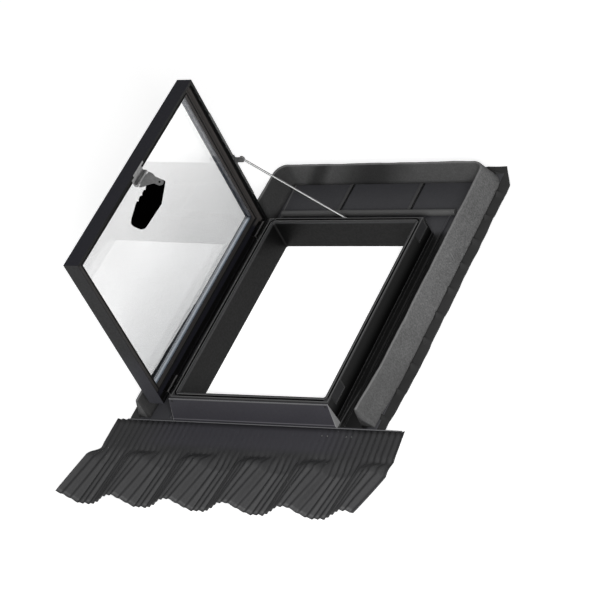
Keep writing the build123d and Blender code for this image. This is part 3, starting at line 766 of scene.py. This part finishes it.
def skirt_points():
    """Strip between three U-shaped lines: one hidden under the foam, one along the foam's foot and the
    outer edge. Its height is z = z0 + tent rise + sag - out, where out goes from 0 at the foam's foot to
    1 at the edge, a tent climbs and falls in straight lines at even steps along the U, its rise goes as
    (1 - out)^2, and the sag is a sum of sines of the distance run."""
    hidden = border(334.0, 524.0, 20, 20, True)
    foot_line = border(376.3, 566.4, 56, 56, True)
    outer_line = border(404.5, 590.0, 38, 73, False)
    columns = np.array([0, 0.35, 0.7, 0.92, 1.0, 1.012, 1.1, 1.25, 1.45, 1.65, 1.85, 2.0])
    under = np.clip(columns, 0, 1)[None, :, None]
    out = np.clip(columns - 1, 0, 1)[None, :]
    plan = hidden[:, None] * (1 - under) + foot_line[:, None] * under
    plan = plan + (outer_line - foot_line)[:, None] * out[..., None]
    run = np.concatenate([[0], np.cumsum(np.hypot(*np.diff(foot_line, axis=0).T))])
    steps = (run[:, None] - 12 - 16 * out) / tent_pitch
    along_tent = (steps - np.floor(steps)) * tent_pitch
    slope_run = np.where(along_tent < tent_peak, tent_rise_run, tent_fall_run)
    tent = np.clip(1 - abs(along_tent - tent_peak) / slope_run, 0, 1)
    rise = np.where((columns > 1.005)[None, :], tent_height * (1 - out) ** 2 + tent_hem, 0)
    sag = (1.2 * np.sin(run / 31) + 0.7 * np.sin(run / 11))[:, None] * out
    plan[..., 0] += drawn_in(plan[..., 0], plan[..., 1]) + pushed_in(plan[..., 0], plan[..., 1])
    level = skirt_z + tent * rise + sag - 1.0 * out
    return np.concatenate([plan, level[..., None]], -1)


skirt = thickened(surface("underlay_skirt", skirt_points() * mm), 0.9 * mm)
skirt_skin = Finish("non_woven", Roughness=0.8, Specular_IOR_Level=0.25)
fibres = skirt_skin.noise(700, 4, (1, 1, 1), 0.7)
right_foot = skirt_skin.step(skirt_skin.along(1), 60, -300) * skirt_skin.step(skirt_skin.along(0), 250, 300)
skirt_tone = skirt_skin.blend(fibres * 0.7 + skirt_skin.noise(40, 3) * 0.3, grey(34), grey(58))
skirt_skin.feed(
    Base_Color=skirt_skin.blend(right_foot * 0.5, skirt_tone, grey(24)),
    Normal=skirt_skin.bump(fibres, 0.0002, 0.6),
)
finished(skirt, skirt_skin.material, "kerb")
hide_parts("underlay_flange")

# Small fasteners and strips
sash_up = from_sash(1, 0, 0) - from_sash(0, 0, 0)
sash_out = from_sash(0, 0, 1) - from_sash(0, 0, 0)
cover_screws = heads("cover_screws", [(-239, -332.4, 88), (239, -332.4, 88)], (0, -0.951, 0.31), 3.2, 1.4)
finished(cover_screws, dark_screw, "kerb")
rivets = heads("apron_rivets", [(x, -380, 32.2) for x in (225, 241.5, 298, 313.5)], (0, 0, 1), 2.2, 1.1)
finished(rivets, riveted, "kerb")
track_screws = heads("track_screws", from_sash([112, 399], 338.25, 0.5), -sash_out, 2.3, 1.0)
finished(track_screws, screw_zinc, "sash")
strip = bar("latch_strip", *from_sash(519.6, [-18, 38], 2.3), 3.3 * sash_up, 0.8 * sash_out, 5.0, 0.02)
finished(strip, zinc, "sash")
nub = bar("gutter_nubs", (106, 418, 31), (120, 418, 31), (0, 3.0, 0), (0, 0, 2.6), 2.0, 0.4)
finished(nub, tray_coat, "kerb")


# Floor: it glows for the camera and in mirrors and glass, so that it looks near white, and still takes
# the object's shadow
floor = surface("floor", np.array([[(-30, -30, 0), (30, -30, 0)], [(-30, 30, 0), (30, 30, 0)]], float)[::-1])
floor_skin = Finish("pale_floor", Base_Color=(0.82, 0.82, 0.82, 1), Roughness=1.0, Emission_Color=(1, 1, 1, 1))
seen = [
    floor_skin.node("ShaderNodeLightPath", out=name)
    for name in ("Is Camera Ray", "Is Glossy Ray", "Is Transmission Ray")
]
floor_skin.feed(Emission_Strength=(seen[0] + seen[1] + seen[2]) * 0.6)
floor.data.materials.append(floor_skin.material)

world = bpy.data.worlds.new("studio")
world.use_nodes = True
scene.world = world
sky = world.node_tree.nodes["Background"]
sky.inputs["Color"].default_value = (1, 1, 1, 1)
sky.inputs["Strength"].default_value = 0.35

# One large square soft light on the camera's side, turned to the kerb. Places in metres.
lamp_place, lamp_aim = Vector((2.4, -2.6, 2.4)), Vector((0, 0, 0.1))
lamp_data = bpy.data.lights.new("key", "AREA")
lamp_data.size, lamp_data.energy = 1.3, 190
lamp = bpy.data.objects.new("key", lamp_data)
scene.collection.objects.link(lamp)
lamp_turn = (lamp_place - lamp_aim).to_track_quat("Z", "Y").to_matrix().to_4x4()
lamp.matrix_world = Matrix.Translation(lamp_place) @ lamp_turn

scene.view_settings.view_transform = "Standard"
